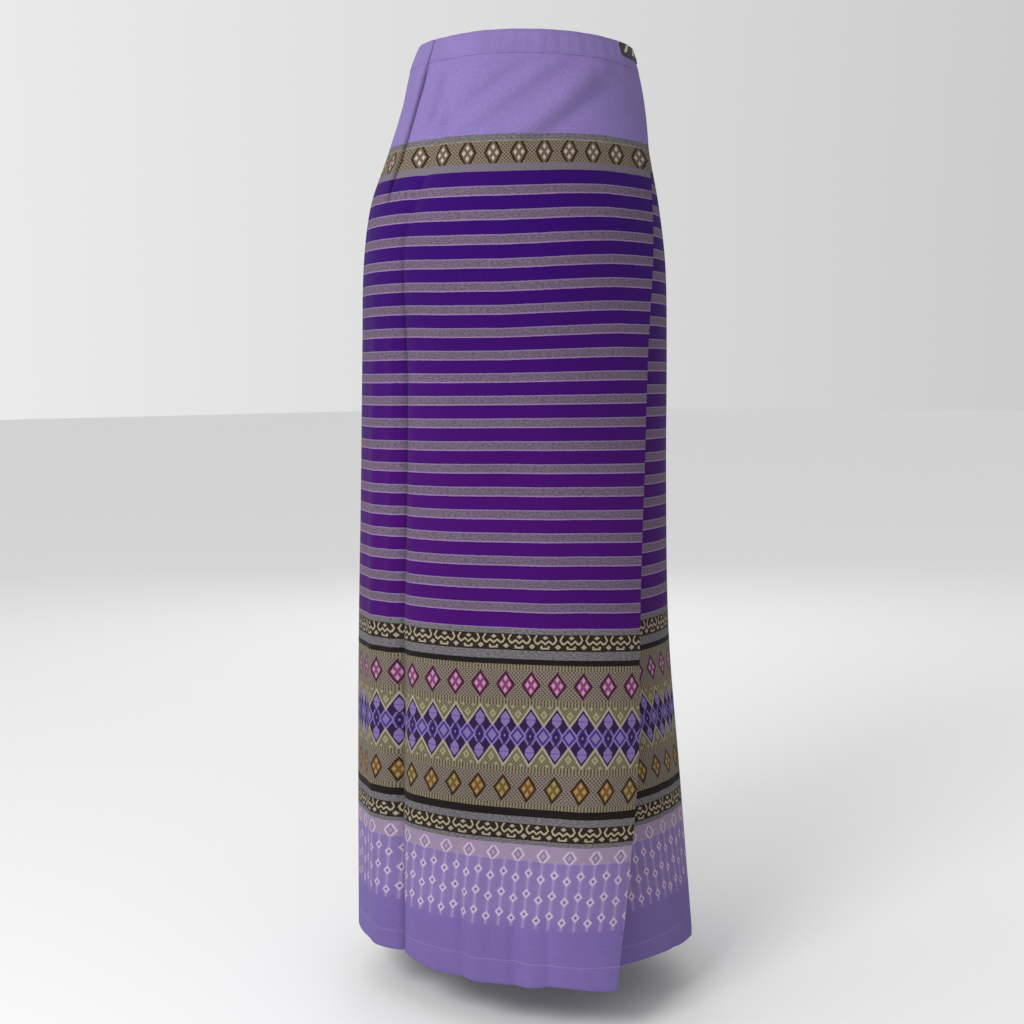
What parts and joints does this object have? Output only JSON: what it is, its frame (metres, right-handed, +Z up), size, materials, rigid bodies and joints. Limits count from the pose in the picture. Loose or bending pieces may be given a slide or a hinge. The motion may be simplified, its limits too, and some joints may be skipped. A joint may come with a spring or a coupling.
{
  "type": "wrap sinh skirt",
  "caption": "Long worn sinh skirt, hollow, with a narrow waistband, an outer flap whose edge hangs open at the front, and woven stripes and diamond borders.",
  "frame": {"origin": "middle of the waistband's ring, half way up its height, where the wearer's waist holds the skirt", "axes": "+Z up, -Y to the wearer's front, +X to the wearer's left"},
  "size_m": [0.3338, 0.3807, 0.9178],
  "materials": {
    "striped_cloth": "woven cotton, purple with heather stripes and patterned borders, matt",
    "band_cloth": "plain woven cotton, lavender, matt",
    "dark_braid": "dark ribbed braid with pale stripes"
  },
  "bodies": {
    "root": {"front_flap": "striped_cloth", "back_panel": "striped_cloth", "under_panel": "striped_cloth", "waistband_front": "band_cloth", "waistband_back": "band_cloth", "waistband_under": "band_cloth", "closing_tab": "dark_braid"}
  },
  "joints": []
}
